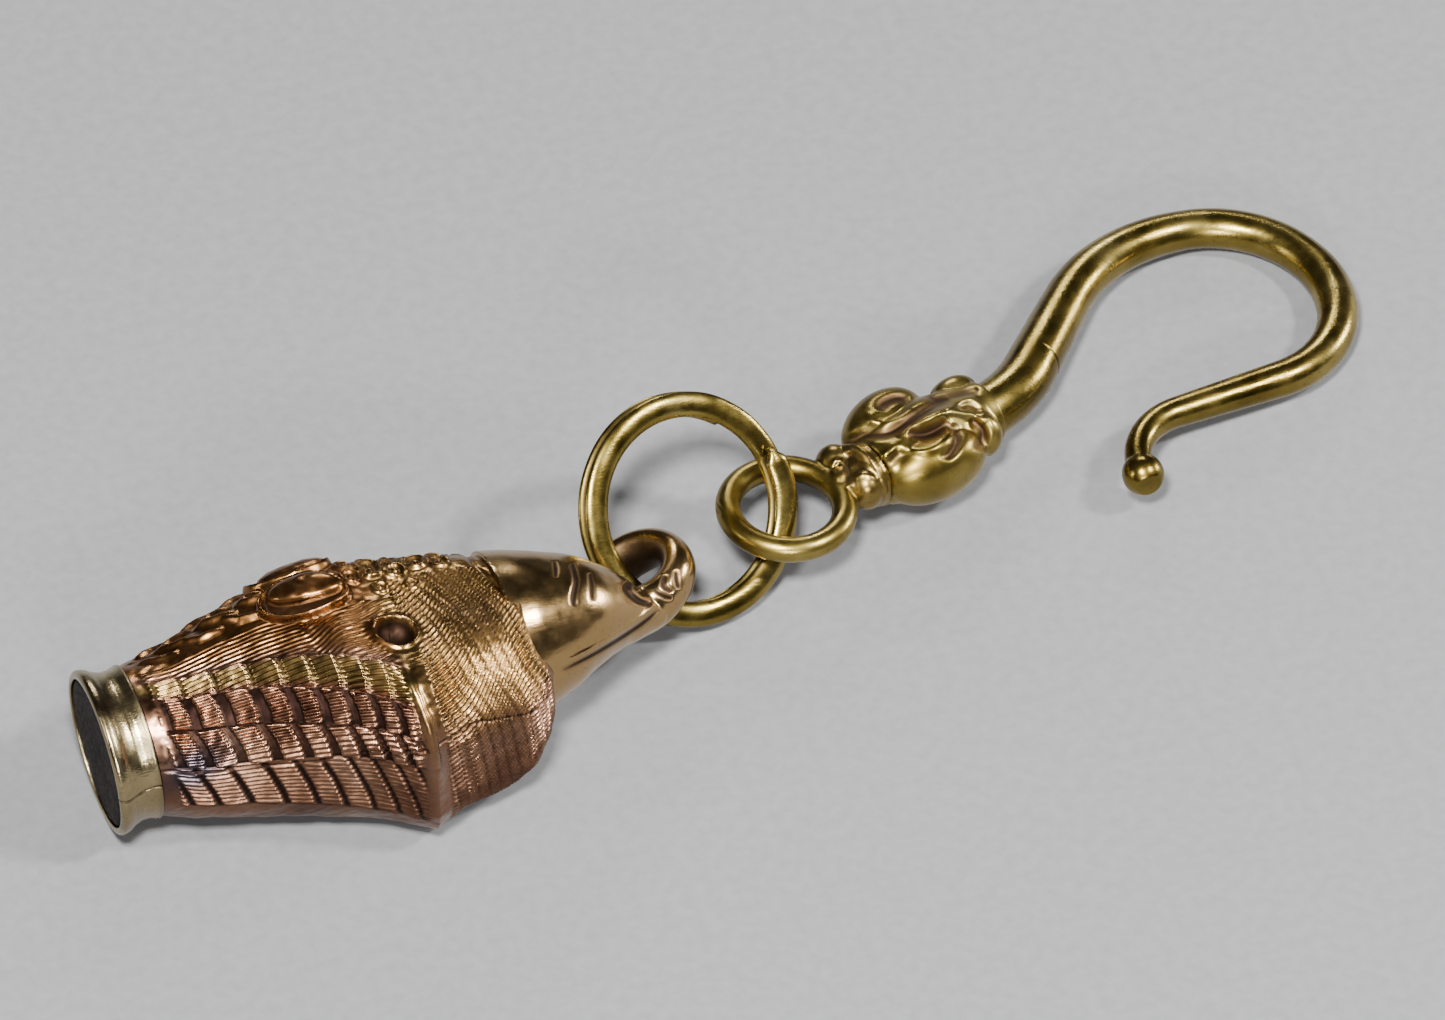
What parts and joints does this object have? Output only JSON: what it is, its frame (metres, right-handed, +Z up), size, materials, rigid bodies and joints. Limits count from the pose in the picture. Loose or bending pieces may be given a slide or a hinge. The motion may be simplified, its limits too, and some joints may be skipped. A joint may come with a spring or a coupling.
{
  "type": "fob pendant",
  "caption": "Hollow chased gold seal pendant on a split ring, with a small eye ring, a scroll calyx and a crook hook.",
  "frame": {"origin": "middle of the footprint, on the surface that the fob lies on", "axes": "+X from the seal face towards the crook, +Z up"},
  "size_m": [0.0718, 0.0282, 0.0112],
  "materials": {
    "rose_gold": "worn satin",
    "pale_gold": "polished",
    "yellow_gold": "polished",
    "dark_stone": "satin"
  },
  "bodies": {
    "root": {"pendant_body": "rose_gold", "seal_bezel": "pale_gold", "seal_stone": "dark_stone", "split_ring": "yellow_gold", "eye_ring": "yellow_gold", "scroll_calyx": "yellow_gold", "crook_hook": "yellow_gold"}
  },
  "joints": []
}
